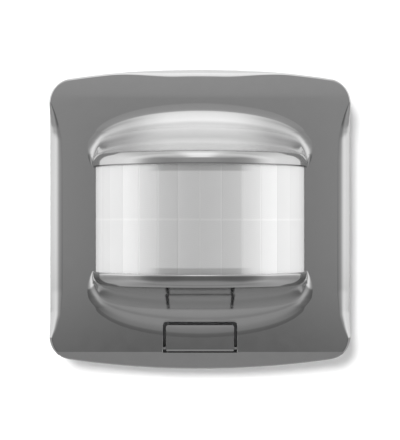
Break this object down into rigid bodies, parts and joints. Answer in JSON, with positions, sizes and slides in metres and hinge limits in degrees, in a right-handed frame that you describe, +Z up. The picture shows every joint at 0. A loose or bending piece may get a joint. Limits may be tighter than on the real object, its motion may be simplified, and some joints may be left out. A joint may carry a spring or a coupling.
{
  "type": "motion sensor",
  "caption": "Flush-mounted infrared motion sensor: square glossy grey cover, half-round white lens between two swept hoods, a control flap, and a claw-fixed insert with screw terminals.",
  "frame": {"origin": "centre of the support ring's box-screw circle, on the wall surface (the ring's rear face)", "axes": "+Z up, -Y out of the wall along the lens's line of sight, +X to the right as seen from the room; the insert reaches into the wall along +Y"},
  "size_m": [0.084, 0.0691, 0.084],
  "materials": {
    "cover_grey": "high-gloss metallic grey lacquer",
    "lens_white": "milky translucent polyethylene, satin",
    "white_plastic": "moulded white",
    "dark_plastic": "moulded dark grey",
    "housing_plastic": "moulded anthracite, fine texture",
    "dial_plastic": "moulded light",
    "circuit_board": "green solder mask",
    "zinc_steel": "zinc-plated",
    "spring_steel": "bright rolled",
    "can_metal": "nickel-plated can",
    "filter_dark": "dark infrared filter",
    "contact_gold": "gold-plated",
    "terminal_brass": "bright brass",
    "relay_blue": "moulded blue",
    "capacitor_sleeve": "shrink sleeve",
    "film_yellow": "moulded yellow",
    "varistor_blue": "dipped epoxy",
    "fuse_glass": "glass tube",
    "led_red": "clear red"
  },
  "bodies": {
    "insert": {"support_ring": "zinc_steel", "spring_clips": "spring_steel", "insert_housing": "housing_plastic", "insert_cover": "white_plastic", "ring_screws": "zinc_steel", "socket_block": "dark_plastic", "socket_contacts": "contact_gold", "power_board": "circuit_board", "relay": "relay_blue", "film_capacitor": "film_yellow", "supply_capacitor": "capacitor_sleeve", "varistor": "varistor_blue", "fuse": "fuse_glass", "terminal_block": "white_plastic", "terminal_clamps": "terminal_brass", "terminal_screws": "zinc_steel"},
    "head": {"front_cover": "cover_grey", "fresnel_lens": "lens_white", "lens_retainer": "white_plastic", "sensor_holder": "dark_plastic", "carrier_board_left": "circuit_board", "carrier_board_right": "circuit_board", "detector_left": "can_metal", "detector_right": "can_metal", "detector_window_left": "filter_dark", "detector_window_right": "filter_dark", "sensor_board": "circuit_board", "control_chip": "dark_plastic", "light_sensor": "filter_dark", "timing_capacitor": "capacitor_sleeve", "status_led": "led_red", "lux_trimmer": "dark_plastic", "time_trimmer": "dark_plastic", "mode_switch": "dark_plastic", "adjuster_panel": "housing_plastic", "rear_cover": "housing_plastic", "head_screws": "zinc_steel", "plug_header": "dark_plastic", "plug_pins": "contact_gold"},
    "control_flap": {"control_flap": "cover_grey"},
    "lux_dial": {"lux_dial": "dial_plastic"},
    "time_dial": {"time_dial": "dial_plastic"},
    "mode_slider": {"mode_slider": "dial_plastic"},
    "claw_left": {"claw_left": "zinc_steel"},
    "claw_right": {"claw_right": "zinc_steel"},
    "claw_screw_left": {"claw_screw_left": "zinc_steel"},
    "claw_screw_right": {"claw_screw_right": "zinc_steel"}
  },
  "joints": [
    {"name": "head_pull", "type": "slide", "parent": "insert", "child": "head", "axis": [0, -1, 0], "range_m": [0, 0.03]},
    {"name": "flap_hinge", "type": "hinge", "parent": "head", "child": "control_flap", "pos_m": [0, -0.0109, -0.0356], "axis": [1, 0, 0], "range_deg": [0, 90]},
    {"name": "lux_dial_turn", "type": "hinge", "parent": "head", "child": "lux_dial", "pos_m": [-0.0062, -0.0081, -0.0326], "axis": [0, -1, 0], "range_deg": [-135, 135]},
    {"name": "time_dial_turn", "type": "hinge", "parent": "head", "child": "time_dial", "pos_m": [0.0062, -0.0081, -0.0326], "axis": [0, -1, 0], "range_deg": [-135, 135]},
    {"name": "mode_slide", "type": "slide", "parent": "head", "child": "mode_slider", "axis": [1, 0, 0], "range_m": [-0.0012, 0.0012]},
    {"name": "claw_left_swing", "type": "hinge", "parent": "insert", "child": "claw_left", "pos_m": [-0.0216, 0.0045, 0], "axis": [0, 0, 1], "range_deg": [0, 25]},
    {"name": "claw_right_swing", "type": "hinge", "parent": "insert", "child": "claw_right", "pos_m": [0.0216, 0.0045, 0], "axis": [0, 0, -1], "range_deg": [0, 25]},
    {"name": "claw_screw_left_turn", "type": "hinge", "parent": "insert", "child": "claw_screw_left", "pos_m": [-0.0242, 0, 0], "axis": [0, 1, 0], "range_deg": [0, 500]},
    {"name": "claw_screw_right_turn", "type": "hinge", "parent": "insert", "child": "claw_screw_right", "pos_m": [0.0242, 0, 0], "axis": [0, 1, 0], "range_deg": [0, 500]}
  ],
  "couplings": [
    {"joint": "claw_screw_left_turn", "follows": "claw_left_swing", "ratio": 20},
    {"joint": "claw_screw_right_turn", "follows": "claw_right_swing", "ratio": 20}
  ]
}
